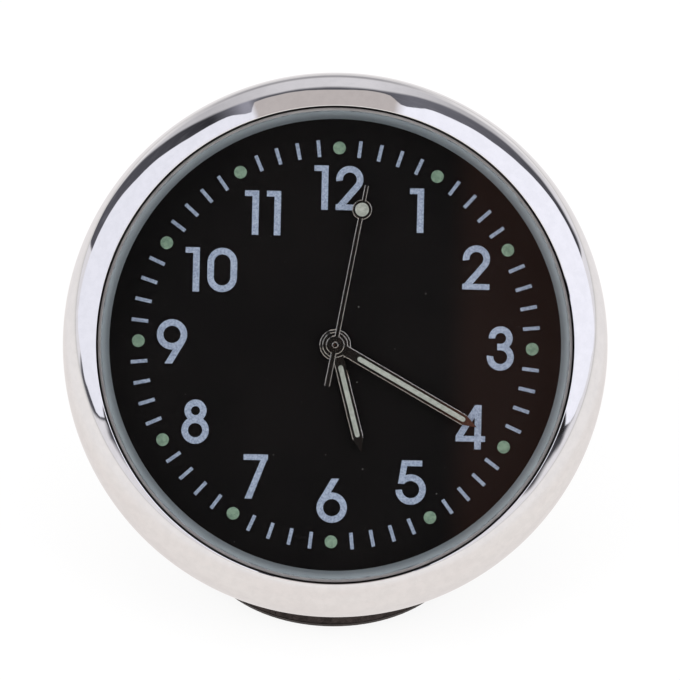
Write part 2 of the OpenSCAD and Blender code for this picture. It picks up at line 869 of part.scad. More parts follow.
module minute_hand() {
    on_clock() color([0.32, 0.3, 0.28]) translate([0, 0, minute_hand_z]) rotate(-minute_angle)
        pointed_hand(minute_l, minute_hub_r, cannon_r, minute_strip);
}

module minute_hand_lume() {
    on_clock() color([0.85, 0.87, 0.8]) translate([0, 0, minute_hand_z]) rotate(-minute_angle)
        hand_strip(minute_strip);
}

// Wheel behind the plate and cannon pinion in front of it, on one tube
module centre_wheel() {
    wheel_z = plate_back_z - centre_depth - wheel_t;
    on_clock() color("khaki") difference() {
        union() {
            train_gear(centre_teeth, train_mod, centre_turn, centre_depth, wheel_t);
            gear(cannon_teeth, drive_mod, 0, motion_z + cannon_pinion_h, cannon_pinion_t);
            disc(cannon_r, wheel_z, minute_hand_z + hand_t + tube_top);
        }
        disc(arbor_r + run_gap, wheel_z - cut, minute_hand_z + hand_room);
    }
}

module second_hand() {
    pin_top = hand_t + second_pin_t;
    on_clock() color([0.32, 0.3, 0.28]) translate([0, 0, second_hand_z]) rotate(-second_angle)
        difference() {
            union() {
                blade(-tail_l, 0, second_tail_w, 0);
                blade(0, ring_at, second_w, 0);
                blade(ring_at, second_l, second_tip_w, 0);
                hub(second_hub_r);
                translate([0, ring_at, 0]) hub(ring_r);
                hub(second_pin_r, pin_top);
            }
            disc(arbor_r, -cut, pin_top - hand_t);
            translate([0, ring_at, 0]) disc(ring_fill_r, -cut, hand_t + cut);
            translate([0, 0, pin_top - arbor_r]) cylinder(r1 = 0, r2 = arbor_r, h = arbor_r);
        }
}

module second_hand_lume() {
    on_clock() color([0.85, 0.9, 0.84]) translate([0, 0, second_hand_z]) rotate(-second_angle)
        translate([0, ring_at, 0]) disc(ring_fill_r - lume_gap, 0, hand_t - lume_gap);
}

module seconds_wheel() {
    on_clock() color("khaki") {
        train_gear(seconds_teeth, drive_mod, 0, seconds_depth, wheel_t);
        train_gear(seconds_pinion_teeth, second_mod, 0, seconds_pinion_depth,
            seconds_depth - seconds_pinion_depth);
        disc(arbor_r, bridge_z - pivot_l + air, second_hand_z + second_pin_t - air);
    }
}

module third_wheel() {
    on_clock() color("khaki") at(third_at, 0) {
        train_gear(third_teeth, second_mod, third_turn, third_depth, wheel_t);
        train_gear(third_pinion_teeth, train_mod, 0, third_pinion_depth, third_depth - third_pinion_depth);
        train_arbor();
    }
}

module step_wheel() {
    on_clock() color("khaki") at(step_at, 0) {
        train_gear(step_teeth, train_mod, 0, third_depth, wheel_t);
        train_gear(step_pinion_teeth, drive_mod, step_pinion_turn, third_depth + wheel_t,
            step_pinion_depth + step_pinion_t - third_depth - wheel_t);
        train_arbor();
    }
}

module rotor_magnet() {
    on_clock() color([0.25, 0.25, 0.27]) at(rotor_at, 0)
        tube(magnet_r, pivot_r, plate_back_z - magnet_depth, plate_back_z - magnet_depth - magnet_t);
}

module rotor_pinion() {
    on_clock() color("ivory") at(rotor_at, 0) {
        train_gear(rotor_teeth, train_mod, rotor_turn, magnet_depth + magnet_t, pinion_t);
        train_arbor();
    }
}

module minute_wheel() {
    wheel_z = motion_z + minute_wheel_h;
    on_clock() color("khaki") at(minute_at, 0) difference() {
        union() {
            gear(minute_teeth, drive_mod, minute_turn, wheel_z, wheel_t);
            gear(minute_pinion_teeth, hour_mod, 0, wheel_z + wheel_t, minute_pinion_t - air);
        }
        disc(post_r + run_gap, wheel_z - cut, dial_z);
    }
}

// Setting train

module setting_wheel() {
    wheel_z = motion_z + setting_wheel_h;
    on_clock() color("khaki") at(setting_at, 0) difference() {
        gear(setting_teeth, drive_mod, setting_turn, wheel_z, setting_wheel_t);
        disc(post_r + run_gap, wheel_z - cut, dial_z);
    }
}

module setting_lever() {
    on_clock() color("lightsteelblue") {
        translate([lever_x - lever_w / 2, -lever_w / 2, plate_back_z - lever_t])
            cube([lever_w, lever_l, lever_t]);
        translate([lever_x, 0]) disc(lever_pin_r, plate_back_z, stem_z - groove_r - run_gap);
    }
}

module stem() {
    on_clock() color("silver") difference() {
        on_stem(clutch_x) cylinder(r = stem_r, h = crown_x + crown_l / 2 - clutch_x);
        on_stem(lever_x - groove_w / 2) difference() {
            cylinder(r = 2 * stem_r, h = groove_w);
            translate([0, 0, -cut]) cylinder(r = groove_r, h = groove_w + 2 * cut);
        }
    }
}

module clutch_pinion() {
    mod = 2 * clutch_r / (clutch_teeth + 2 * addendum);
    on_clock() color("khaki") on_stem(clutch_x) difference() {
        linear_extrude(clutch_l) gear_2d(clutch_teeth, mod);
        translate([0, 0, -cut]) cylinder(r = stem_r, h = clutch_l + 2 * cut);
    }
}

module stem_tube() {
    from_x = can_in_r - tube_l / 2;
    on_clock() color("goldenrod") on_stem(from_x) difference() {
        cylinder(r = stem_r + run_gap + tube_wall, h = can_r - from_x);
        translate([0, 0, -cut]) cylinder(r = stem_r + run_gap, h = can_r);
    }
}

module crown() {
    mod = 2 * crown_r / (crown_teeth + 2 * addendum);
    on_clock() color("silver") on_stem(crown_x) difference() {
        linear_extrude(crown_l) gear_2d(crown_teeth, mod);
        translate([0, 0, -cut]) cylinder(r = stem_r, h = crown_l / 2 + cut);
    }
}

// Figures of the dial, each centred on x = 0 and standing on y = 0

module ring(r) {
    difference() {
        circle(r = r);
        circle(r = r - stroke);
    }
}

// Part of a ring between two angles, counted anticlockwise
module arc(r, from_a, to_a) {
    far = 3 * r;
    steps = 8;
    difference() {
        ring(r);
        polygon(concat([[0, 0]], [for (i = [0 : steps])
            let (a = to_a + (360 + from_a - to_a) * i / steps)
            far * [cos(a), sin(a)]]));
    }
}

module bar(x0, y0, x1, y1) {
    translate([x0, y0]) square([x1 - x0, y1 - y0]);
}

// Straight stroke that leaves a ring at angle a and runs on clockwise as its tangent
module tangent(r, a, length) {
    rotate(a) translate([r - stroke, -length]) square([stroke, length]);
}

// Numeral centred on the origin, with one or two figures
module numeral(n) {
    if (n < 10) {
        translate([0, -numeral_h / 2]) figure(n);
    } else {
        second = n - 10;
        whole_w = one_w + figure_gap + figure_w[second];
        translate([(one_w - whole_w) / 2, -numeral_h / 2]) figure(1);
        translate([(whole_w - figure_w[second]) / 2, -numeral_h / 2]) figure(second);
    }
}

module figure(n) {
    if (n == 0) figure_0();
    if (n == 1) figure_1();
    if (n == 2) figure_2();
    if (n == 3) figure_3();
    if (n == 4) figure_4();
    if (n == 5) figure_5();
    if (n == 6) figure_6();
    if (n == 7) figure_7();
    if (n == 8) figure_8();
    if (n == 9) translate([0, numeral_h]) rotate(180) figure_6();
}

module figure_0() {
    difference() {
        link([0, nought_r], [0, numeral_h - nought_r], 2 * nought_r);
        link([0, nought_r], [0, numeral_h - nought_r], 2 * (nought_r - stroke));
    }
}

module figure_1() {
    bar(one_w / 2 - stroke, 0, one_w / 2, numeral_h);
    bar(-one_w / 2, numeral_h - bar_h, one_w / 2, numeral_h);
}

module figure_2() {
    r = round_figure_r;
    centre_y = numeral_h - r;
    leave = -40;
    bar(-r, 0, r, bar_h);
    intersection() {
        translate([0, centre_y]) {
            arc(r, leave, 188);
            tangent(r, leave, numeral_h);
        }
        bar(-r, 0, r, numeral_h);
    }
}

module figure_3() {
    top_r = numeral_h * 0.27;
    low_r = (numeral_h + stroke) / 2 - top_r;
    waist_y = numeral_h - 2 * top_r;
    translate([0, numeral_h - top_r]) arc(top_r, -90, 182);
    translate([0, low_r]) arc(low_r, -186, 90);
    bar(-stroke * 0.5, waist_y, stroke * 0.3, waist_y + stroke);
}

module figure_4() {
    half = numeral_h * 0.332;
    stem_left = numeral_h * 0.09;
    bar_y = numeral_h * 0.17;
    bar(stem_left, 0, stem_left + stroke, numeral_h);
    bar(-half, bar_y, half, bar_y + bar_h);
    polygon([[-half, bar_y + bar_h], [stem_left, numeral_h], [stem_left, numeral_h - 1.9 * stroke],
        [-half + 1.15 * stroke, bar_y + bar_h]]);
}

module figure_5() {
    r = big_bowl_r;
    top_left = -numeral_h * 0.21;
    low_left = -numeral_h * 0.285;
    bar(top_left, numeral_h - bar_h, numeral_h * 0.25, numeral_h);
    stem_foot = numeral_h * 0.47;
    polygon([[top_left, numeral_h], [low_left, stem_foot], [low_left + 0.85 * stroke, stem_foot],
        [top_left + stroke, numeral_h]]);
    translate([0, r]) arc(r, -178, 142);
}

module figure_6() {
    r = big_bowl_r;
    leave = 150;
    intersection() {
        translate([0, r]) {
            ring(r);
            tangent(r, leave, numeral_h);
        }
        bar(-r, 0, r, numeral_h);
    }
}

module figure_7() {
    half = numeral_h * 0.275;
    foot = -numeral_h * 0.235;
    bar(-half, numeral_h - bar_h, half, numeral_h);
    polygon([[half, numeral_h], [half, numeral_h - 0.5 * bar_h], [foot + stroke * 1.06, 0], [foot, 0],
        [half - stroke * 1.1, numeral_h - bar_h], [half - stroke * 1.1, numeral_h]]);
}

module figure_8() {
    low_r = (numeral_h + stroke * 0.8) / 2 - small_bowl_r;
    translate([0, numeral_h - small_bowl_r]) ring(small_bowl_r);
    translate([0, low_r]) ring(low_r);
}

rear_bowl();
front_bezel();
foam_pad();
adhesive_film();
crystal();
reflector_ring();
dial();
dial_numerals();
minute_marks();
lume_dots();
insert_case();
case_back();
back_gasket();
grip_ring();
movement_holder();
main_plate();
train_bridge();
movement_screws();
coil_core();
coil_winding();
stator();
circuit_board();
timing_chip();
quartz_can();
battery();
battery_clip();
battery_contact();
stem_tube();
hour_hand();
hour_hand_lume();
hour_wheel();
minute_hand();
minute_hand_lume();
centre_wheel();
second_hand();
second_hand_lume();
seconds_wheel();
third_wheel();
step_wheel();
rotor_magnet();
rotor_pinion();
minute_wheel();
setting_wheel();
setting_lever();
stem();
clutch_pinion();
crown();
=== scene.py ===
import bpy, bmesh, json, math
from mathutils import Matrix, Vector, noise


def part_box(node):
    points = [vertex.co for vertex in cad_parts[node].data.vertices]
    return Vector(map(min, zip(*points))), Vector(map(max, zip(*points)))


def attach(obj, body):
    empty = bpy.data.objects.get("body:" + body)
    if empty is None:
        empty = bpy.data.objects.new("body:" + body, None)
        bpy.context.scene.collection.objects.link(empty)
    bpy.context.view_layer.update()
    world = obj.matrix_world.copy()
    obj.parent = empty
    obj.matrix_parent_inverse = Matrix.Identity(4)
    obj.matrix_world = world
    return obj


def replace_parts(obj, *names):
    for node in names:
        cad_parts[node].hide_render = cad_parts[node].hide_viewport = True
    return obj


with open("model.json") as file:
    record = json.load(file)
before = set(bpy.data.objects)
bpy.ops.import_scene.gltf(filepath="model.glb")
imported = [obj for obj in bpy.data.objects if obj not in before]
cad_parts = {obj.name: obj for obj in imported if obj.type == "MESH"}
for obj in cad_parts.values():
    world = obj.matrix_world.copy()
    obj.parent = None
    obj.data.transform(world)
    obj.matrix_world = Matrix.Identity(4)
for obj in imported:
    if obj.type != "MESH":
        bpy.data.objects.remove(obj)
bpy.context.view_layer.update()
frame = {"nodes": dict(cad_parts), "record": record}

print("frame loaded:", len(frame["nodes"]), "solids")

# The clock's own frame: X to 3 o'clock, Y to 12, Z out of the dial, from the ball's centre
padLow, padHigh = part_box("foam_pad")
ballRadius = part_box("front_bezel")[1].x
clock = {"lean": 37.0, "centreHeight": padHigh.z + math.sqrt(ballRadius ** 2 - padHigh.x ** 2)}
tilt = math.radians(90 - clock["lean"])
clockFrame = Matrix.Translation((0, 0, clock["centreHeight"])) @ Matrix.Rotation(tilt, 4, "X")
dialRight = Vector((1, 0, 0))
dialUp = Vector((0, math.cos(tilt), math.sin(tilt)))
dialOut = Vector((0, -math.sin(tilt), math.cos(tilt)))


def clockBox(node):                                     # a solid's lowest and highest corners in that frame
    toClock = clockFrame.inverted()
    points = [toClock @ vert.co for vert in frame["nodes"][node].data.vertices]
    return Vector(map(min, zip(*points))), Vector(map(max, zip(*points)))


# Node helpers
def addNode(tree, kind, inputs=None, **settings):
    node = tree.nodes.new(kind)
    for key, value in settings.items():
        setattr(node, key, value)
    for key, value in (inputs or {}).items():
        if isinstance(value, bpy.types.NodeSocket):
            tree.links.new(value, node.inputs[key])
        else:
            node.inputs[key].default_value = value
    return node


def mathNode(tree, operation, *values):
    return addNode(tree, "ShaderNodeMath", dict(enumerate(values)), operation=operation).outputs[0]


def stepNode(tree, value, low, high, atLow, atHigh):    # smooth change between two levels
    node = addNode(tree, "ShaderNodeMapRange", {"Value": value, "From Min": low, "From Max": high,
                                                "To Min": atLow, "To Max": atHigh})
    node.interpolation_type = "SMOOTHSTEP"
    return node.outputs["Result"]


def blendNode(tree, share, first, second):              # mix of two colours
    return addNode(tree, "ShaderNodeMix", {0: share, 6: first, 7: second}, data_type="RGBA").outputs[2]


def rgba(color):
    return (*color, 1.0)


white = rgba((1, 1, 1))

# Shared surface effects, each a node group; the levels are where a noise begins and ends its change
floatSocket, colorSocket = "NodeSocketFloat", "NodeSocketColor"
effectLevels = {"tone": (0.32, 0.68), "smudge": (0.3, 0.7)}


def newGroup(name, inputs, outputs):
    group = bpy.data.node_groups.new(name, "ShaderNodeTree")
    for socketName, socketType, value in inputs:
        socket = group.interface.new_socket(name=socketName, in_out="INPUT", socket_type=socketType)
        socket.default_value = value
    for socketName, socketType in outputs:
        group.interface.new_socket(name=socketName, in_out="OUTPUT", socket_type=socketType)
    place = addNode(group, "ShaderNodeTexCoord").outputs["Object"]
    source = group.nodes.new("NodeGroupInput").outputs
    sink = group.nodes.new("NodeGroupOutput").inputs
    return group, place, source, sink


def makeToneDrift():                                    # one colour wandering into another
    inputs = [("First", colorSocket, (0.5, 0.5, 0.5, 1)), ("Second", colorSocket, (0.4, 0.4, 0.4, 1)),
              ("Scale", floatSocket, 300.0)]
    group, place, source, sink = newGroup("toneDrift", inputs, [("Color", colorSocket)])
    cloud = addNode(group, "ShaderNodeTexNoise", {"Vector": place, "Scale": source["Scale"], "Detail": 5.0,
                                                  "Roughness": 0.6})
    share = stepNode(group, cloud.outputs["Fac"], *effectLevels["tone"], 0.0, 1.0)
    group.links.new(blendNode(group, share, source["First"], source["Second"]), sink["Color"])
    return group


def makeSmudge():                                       # roughness that varies as on handled things
    inputs = [("Low", floatSocket, 0.1), ("High", floatSocket, 0.3), ("Scale", floatSocket, 200.0)]
    group, place, source, sink = newGroup("handlingSmudge", inputs, [("Roughness", floatSocket)])
    cloud = addNode(group, "ShaderNodeTexNoise", {"Vector": place, "Scale": source["Scale"], "Detail": 6.0,
                                                  "Roughness": 0.65, "Distortion": 0.6})
    level = stepNode(group, cloud.outputs["Fac"], *effectLevels["smudge"], source["Low"], source["High"])
    group.links.new(level, sink["Roughness"])
    return group


def makeGrain():                                        # fine even grain, for bump
    inputs = [("Scale", floatSocket, 4000.0)]
    group, place, source, sink = newGroup("fineGrain", inputs, [("Height", floatSocket)])
    cloud = addNode(group, "ShaderNodeTexNoise", {"Vector": place, "Scale": source["Scale"], "Detail": 3.0})
    group.links.new(cloud.outputs["Fac"], sink["Height"])
    return group


def makeSpecks():                                       # scattered specks of dust and lint; on the foam, darker pits that are painted shade
    inputs = [("Scale", floatSocket, 900.0), ("Size", floatSocket, 0.12), ("Share", floatSocket, 0.2)]
    group, place, source, sink = newGroup("dustAndPitShadeSpecks", inputs, [("Mask", floatSocket)])
    cells = addNode(group, "ShaderNodeTexVoronoi", {"Vector": place, "Scale": source["Scale"]})
    chance = addNode(group, "ShaderNodeSeparateColor", {"Color": cells.outputs["Color"]})
    kept = mathNode(group, "LESS_THAN", chance.outputs["Red"], source["Share"])
    reach = mathNode(group, "MULTIPLY", source["Size"], chance.outputs["Green"])
    dot = mathNode(group, "LESS_THAN", cells.outputs["Distance"], reach)
    group.links.new(mathNode(group, "MULTIPLY", kept, dot), sink["Mask"])
    return group


def makeTurning():                                      # turning marks round the clock's axis
    inputs = [("Fineness", floatSocket, 9000.0)]
    outputs = [("Height", floatSocket), ("Radius", floatSocket)]
    group, place, source, sink = newGroup("turningMarks", inputs, outputs)
    fromCentre = addNode(group, "ShaderNodeVectorMath", {0: place, 1: clockFrame.translation},
                         operation="SUBTRACT").outputs[0]
    along = addNode(group, "ShaderNodeVectorMath", {0: fromCentre, 1: dialOut}, operation="DOT_PRODUCT")
    whole = addNode(group, "ShaderNodeVectorMath", {0: fromCentre, 1: fromCentre}, operation="DOT_PRODUCT")
    depth = mathNode(group, "MULTIPLY", along.outputs["Value"], along.outputs["Value"])
    radius = mathNode(group, "SQRT", mathNode(group, "SUBTRACT", whole.outputs["Value"], depth))
    mark = addNode(group, "ShaderNodeTexNoise", {"W": mathNode(group, "MULTIPLY", radius, source["Fineness"]),
                                                 "Scale": 1.0, "Detail": 4.0}, noise_dimensions="1D")
    group.links.new(mark.outputs[0], sink["Height"])
    group.links.new(radius, sink["Radius"])
    return group


effects = {"tone": makeToneDrift(), "smudge": makeSmudge(), "grain": makeGrain(), "specks": makeSpecks(),
           "turning": makeTurning()}
print("surface effects:", len(effects))


def useEffect(tree, name, output, **inputs):
    return addNode(tree, "ShaderNodeGroup", inputs, node_tree=effects[name]).outputs[output]


# One recipe for every finish: drifting colour, specks where asked, smudged roughness, and grain
plainLook = {"smudgeScale": 200.0, "metallic": 0.0, "specular": 0.5, "edgeTint": (1, 1, 1)}


def makeFinish(name, ownLook):
    look = {**plainLook, **ownLook}
    material = bpy.data.materials.new(name)
    material.use_nodes = True
    tree = material.node_tree
    shader = tree.nodes["Principled BSDF"]
    color = useEffect(tree, "tone", "Color", First=rgba(look["color"]), Second=rgba(look["drift"]),
                      Scale=look["driftScale"])
    if "specks" in look:
        specks = look["specks"]
        mask = useEffect(tree, "specks", "Mask", Scale=specks["scale"], Size=specks["size"],
                         Share=specks["share"])
        color = blendNode(tree, mask, color, rgba(specks["color"]))
    roughness = useEffect(tree, "smudge", "Roughness", Low=look["rough"][0], High=look["rough"][1],
                          Scale=look["smudgeScale"])
    if "inside" in look:                                # plain casting within a plated shell
        inside = look["inside"]
        place = addNode(tree, "ShaderNodeTexCoord").outputs["Object"]
        fromCentre = addNode(tree, "ShaderNodeVectorMath", {0: place, 1: clockFrame.translation},
                             operation="DISTANCE").outputs["Value"]
        inner = stepNode(tree, fromCentre, inside["radius"] - inside["blend"], inside["radius"], 1.0, 0.0)
        color = blendNode(tree, inner, color, rgba(inside["color"]))
        roughness = mathNode(tree, "MULTIPLY_ADD", inner, inside["rougher"], roughness)
    if "paintedInnerShade" in look:                             # painted shade: darker towards the bore of a ring, where it meets the dial
        radius = useEffect(tree, "turning", "Radius")
        band = stepNode(tree, radius, *look["paintedInnerShade"]["radii"], 1.0, 0.0)
        color = blendNode(tree, band, color, rgba(look["paintedInnerShade"]["color"]))
    tree.links.new(color, shader.inputs["Base Color"])
    tree.links.new(roughness, shader.inputs["Roughness"])
    shader.inputs["Metallic"].default_value = look["metallic"]
    shader.inputs["Specular IOR Level"].default_value = look["specular"]
    shader.inputs["Specular Tint"].default_value = rgba(look["edgeTint"])
    if "turning" in look:
        relief = useEffect(tree, "turning", "Height", Fineness=look["turning"])
    else:
        relief = useEffect(tree, "grain", "Height", Scale=look["grain"])
    bump = addNode(tree, "ShaderNodeBump", {"Strength": look["bump"], "Distance": look["depth"],
                                            "Height": relief})
    tree.links.new(bump.outputs["Normal"], shader.inputs["Normal"])
    return material


# Finishes that show: chrome, pad, dial and hands
chromeLook = {"color": (0.735, 0.720, 0.715), "drift": (0.700, 0.687, 0.683), "driftScale": 1300.0,
              "metallic": 1.0, "rough": (0.02, 0.05), "smudgeScale": 160.0, "grain": 700.0, "bump": 0.05,
              "depth": 2e-6, "edgeTint": (0.92, 0.92, 0.93),
              "specks": {"scale": 420.0, "size": 0.07, "share": 0.05, "color": (0.30, 0.29, 0.29)}}
bowlLook = {**chromeLook,
            "inside": {"radius": 0.0212, "blend": 1e-4, "color": (0.34, 0.335, 0.33), "rougher": 0.38}}
foamLook = {"color": (0.020, 0.0155, 0.014), "drift": (0.046, 0.036, 0.033), "driftScale": 1800.0,
            "rough": (0.85, 1.0), "grain": 3800.0, "bump": 0.9, "depth": 1.2e-4, "specular": 0.2,
            # the foam's darker specks are painted shade in its open pits
            "specks": {"scale": 3500.0, "size": 0.35, "share": 0.3, "color": (0.010, 0.008, 0.008)}}
filmLook = {"color": (0.028, 0.022, 0.020), "drift": (0.040, 0.032, 0.029), "driftScale": 700.0,
            "rough": (0.5, 0.7), "grain": 2500.0, "bump": 0.3, "depth": 2e-5}
ringLook = {"color": (0.355, 0.38, 0.415), "drift": (0.315, 0.34, 0.375), "driftScale": 500.0,
            "rough": (0.42, 0.55), "turning": 9000.0, "bump": 0.5, "depth": 2e-5, "specular": 0.4,
            # painted shade, darker on the ring's inner edge next to the dial
            "paintedInnerShade": {"radii": (0.01792, 0.01832), "color": (0.185, 0.20, 0.22)}}
dialLook = {"color": (0.0036, 0.0030, 0.0031), "drift": (0.0050, 0.0040, 0.0040), "driftScale": 130.0,
            "rough": (0.45, 0.6), "grain": 9000.0, "bump": 0.15, "depth": 4e-6, "specular": 0.03,
            "specks": {"scale": 1700.0, "size": 0.12, "share": 0.06, "color": (0.12, 0.115, 0.11)}}
inkLook = {"color": (0.165, 0.19, 0.265), "drift": (0.31, 0.345, 0.445), "driftScale": 6500.0,
           "rough": (0.6, 0.8), "grain": 7000.0, "bump": 0.5, "depth": 1.5e-5, "specular": 0.2}
dotLook = {"color": (0.120, 0.176, 0.130), "drift": (0.195, 0.268, 0.202), "driftScale": 3200.0,
           "rough": (0.7, 0.9), "grain": 6000.0, "bump": 0.6, "depth": 2e-5, "specular": 0.2}
handLook = {"color": (0.47, 0.432, 0.40), "drift": (0.41, 0.372, 0.34), "driftScale": 500.0, "metallic": 1.0,
            "rough": (0.03, 0.07), "grain": 2500.0, "bump": 0.01, "depth": 2e-6}
stripLook = {"color": (0.220, 0.220, 0.200), "drift": (0.320, 0.320, 0.292), "driftScale": 3500.0,
             "rough": (0.7, 0.9), "grain": 6000.0, "bump": 0.5, "depth": 1.5e-5, "specular": 0.25}
groundLook = {"color": (0.27, 0.255, 0.255), "drift": (0.33, 0.315, 0.31), "driftScale": 900.0,
              "rough": (0.5, 0.7), "grain": 9000.0, "bump": 0.3, "depth": 6e-6}

# Finishes of the insert's case and of the movement inside it
caseLook = {"color": (0.020, 0.020, 0.022), "drift": (0.027, 0.027, 0.029), "driftScale": 260.0,
            "rough": (0.4, 0.55), "grain": 3000.0, "bump": 0.4, "depth": 1.5e-5}
backLook = {"color": (0.56, 0.55, 0.53), "drift": (0.50, 0.49, 0.475), "driftScale": 120.0, "metallic": 1.0,
            "rough": (0.22, 0.34), "turning": 9000.0, "bump": 0.35, "depth": 1.2e-5}
rubberLook = {"color": (0.018, 0.018, 0.018), "drift": (0.028, 0.027, 0.026), "driftScale": 400.0,
              "rough": (0.65, 0.85), "grain": 4200.0, "bump": 0.5, "depth": 2e-5, "specular": 0.3,
              "specks": {"scale": 1600.0, "size": 0.12, "share": 0.1, "color": (0.14, 0.13, 0.12)}}
holderLook = {"color": (0.70, 0.69, 0.64), "drift": (0.64, 0.63, 0.58), "driftScale": 260.0,
              "rough": (0.4, 0.55), "grain": 3000.0, "bump": 0.3, "depth": 1e-5}
plateLook = {"color": (0.62, 0.58, 0.49), "drift": (0.56, 0.52, 0.43), "driftScale": 220.0, "metallic": 1.0,
             "rough": (0.25, 0.4), "turning": 14000.0, "bump": 0.2, "depth": 8e-6}
steelLook = {"color": (0.56, 0.56, 0.57), "drift": (0.50, 0.50, 0.51), "driftScale": 350.0, "metallic": 1.0,
             "rough": (0.18, 0.32), "grain": 5000.0, "bump": 0.15, "depth": 6e-6}
copperLook = {"color": (0.66, 0.29, 0.12), "drift": (0.52, 0.20, 0.08), "driftScale": 2600.0,
              "metallic": 1.0, "rough": (0.25, 0.4), "grain": 9000.0, "bump": 0.6, "depth": 3e-5}
boardLook = {"color": (0.025, 0.14, 0.07), "drift": (0.035, 0.18, 0.09), "driftScale": 900.0,
             "rough": (0.3, 0.45), "grain": 5000.0, "bump": 0.3, "depth": 1e-5}
chipLook = {"color": (0.018, 0.018, 0.020), "drift": (0.028, 0.028, 0.030), "driftScale": 900.0,
            "rough": (0.3, 0.45), "grain": 6000.0, "bump": 0.3, "depth": 1e-5}
brassLook = {"color": (0.70, 0.53, 0.24), "drift": (0.62, 0.45, 0.19), "driftScale": 500.0, "metallic": 1.0,
             "rough": (0.16, 0.3), "grain": 6000.0, "bump": 0.15, "depth": 6e-6}
magnetLook = {"color": (0.07, 0.07, 0.075), "drift": (0.10, 0.10, 0.105), "driftScale": 1500.0,
              "metallic": 0.8, "rough": (0.4, 0.6), "grain": 6000.0, "bump": 0.4, "depth": 1e-5}

finishes = {"chrome_shell": chromeLook, "pad_foam": foamLook, "pad_film": filmLook, "ring_grey": ringLook,
            "dial_black": dialLook, "dial_print": inkLook, "dot_lume": dotLook, "hand_metal": handLook,
            "hand_lume": stripLook, "case_black": caseLook, "back_steel": backLook,
            "seal_rubber": rubberLook, "holder_plastic": holderLook, "plate_metal": plateLook,
            "steel_small": steelLook, "coil_copper": copperLook, "board_green": boardLook,
            "chip_black": chipLook, "gear_brass": brassLook, "magnet_dark": magnetLook}
materials = {slot: makeFinish(slot + "Finish", look) for slot, look in finishes.items()}

# Clear glass, which lets the lamps' light through to the dial
glassLook = {"color": (0.965, 0.985, 0.98), "ior": 1.36, "rough": (0.0, 0.012), "smudgeScale": 120.0,
             "shadow": (0.95, 0.965, 0.96)}


def makeGlass():
    material = bpy.data.materials.new("crystalGlassFinish")
    material.use_nodes = True
    tree = material.node_tree
    shader = tree.nodes["Principled BSDF"]
    shader.inputs["Base Color"].default_value = rgba(glassLook["color"])
    shader.inputs["IOR"].default_value = glassLook["ior"]
    shader.inputs["Transmission Weight"].default_value = 1.0
    roughness = useEffect(tree, "smudge", "Roughness", Low=glassLook["rough"][0], High=glassLook["rough"][1],
                          Scale=glassLook["smudgeScale"])
    tree.links.new(roughness, shader.inputs["Roughness"])
    clear = addNode(tree, "ShaderNodeBsdfTransparent", {"Color": rgba(glassLook["shadow"])})
    path = addNode(tree, "ShaderNodeLightPath")
    lighting = mathNode(tree, "MAXIMUM", path.outputs["Is Shadow Ray"], path.outputs["Is Diffuse Ray"])
    mix = addNode(tree, "ShaderNodeMixShader", {0: lighting, 1: shader.outputs["BSDF"],
                                                2: clear.outputs["BSDF"]})
    tree.links.new(mix.outputs["Shader"], tree.nodes["Material Output"].inputs["Surface"])
    return material


materials["crystal_glass"] = makeGlass()
special = {"crystalGroundEdge": makeFinish("groundGlassFinish", groundLook),
           "rear_bowl": makeFinish("bowlFinish", bowlLook)}     # in place of the finish of their slot
for row in frame["record"]["subparts"]:
    for materialSlot in frame["nodes"][row["node"]].material_slots:
        materialSlot.material = special.get(row["node"], materials[row["material_slot"]])
print("finishes:", len(materials) + len(special))


# Mesh helpers
def turnOutline(outline, segments, shape=None):         # turns (radius, height) points about Z
    shape = shape or bmesh.new()
    turns = [2 * math.pi * i / segments for i in range(segments)]
    rings = [[shape.verts.new((radius * math.cos(turn), radius * math.sin(turn), height)) for turn in turns]
             for radius, height in outline]
    for lower, upper in zip(rings, rings[1:] + rings[:1]):
        for i in range(segments):
            j = (i + 1) % segments
            shape.faces.new((lower[i], lower[j], upper[j], upper[i]))
    return shape


def toUnit(value):                                      # from between -1 and 1 to between 0 and 1
    return 0.5 + 0.5 * value


def addPiece(name, shape, sharpAngle, body, slot):
    mesh = bpy.data.meshes.new(name)
    bmesh.ops.recalc_face_normals(shape, faces=shape.faces)
    shape.to_mesh(mesh)
    shape.free()
    mesh.shade_smooth()
    mesh.set_sharp_from_angle(angle=math.radians(sharpAngle))
    mesh.materials.append(special.get(name, materials[slot]))
    piece = bpy.data.objects.new(name, mesh)
    bpy.context.scene.collection.objects.link(piece)
    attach(piece, body)
    return piece


# Chromed bezel, turned finely so that its reflections run clean
bezel = {"boreRadius": 0.01875, "sectionRadius": 0.00395, "lipChamfer": 0.00005, "spigotWall": 0.00078,
         "segments": 360, "steps": 72, "sharpAngle": 30}


def makeBezel():
    sectionMiddle = ballRadius - bezel["sectionRadius"]
    spigotEnd = clockBox("front_bezel")[0].z

    def arcTurn(radius):                                # where the round section has that radius
        return math.acos((radius - sectionMiddle) / bezel["sectionRadius"])

    lipHeight = bezel["sectionRadius"] * math.sin(arcTurn(bezel["boreRadius"]))
    lipTurn = arcTurn(bezel["boreRadius"] + bezel["lipChamfer"])
    outline = [(bezel["boreRadius"], spigotEnd), (bezel["boreRadius"], lipHeight - bezel["lipChamfer"])]
    for i in range(bezel["steps"] + 1):
        turn = lipTurn * (1 - i / bezel["steps"])
        outline.append((sectionMiddle + bezel["sectionRadius"] * math.cos(turn),
                        bezel["sectionRadius"] * math.sin(turn)))
    spigotRadius = bezel["boreRadius"] + bezel["spigotWall"]
    outline += [(spigotRadius, 0.0), (spigotRadius, spigotEnd)]
    shape = turnOutline(outline, bezel["segments"])
    shape.transform(clockFrame)
    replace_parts(addPiece("bezelRing", shape, bezel["sharpAngle"], "housing", "chrome_shell"), "front_bezel")


makeBezel()

# Ground edge of the crystal: a thin matt band over its chamfer and side, a little above its foot
crystalEdge = {"chamfer": 0.0002, "skin": (2e-6, 7e-6), "skinRise": 0.4, "foot": 1e-4, "segments": 240,
               "sharpAngle": 30}


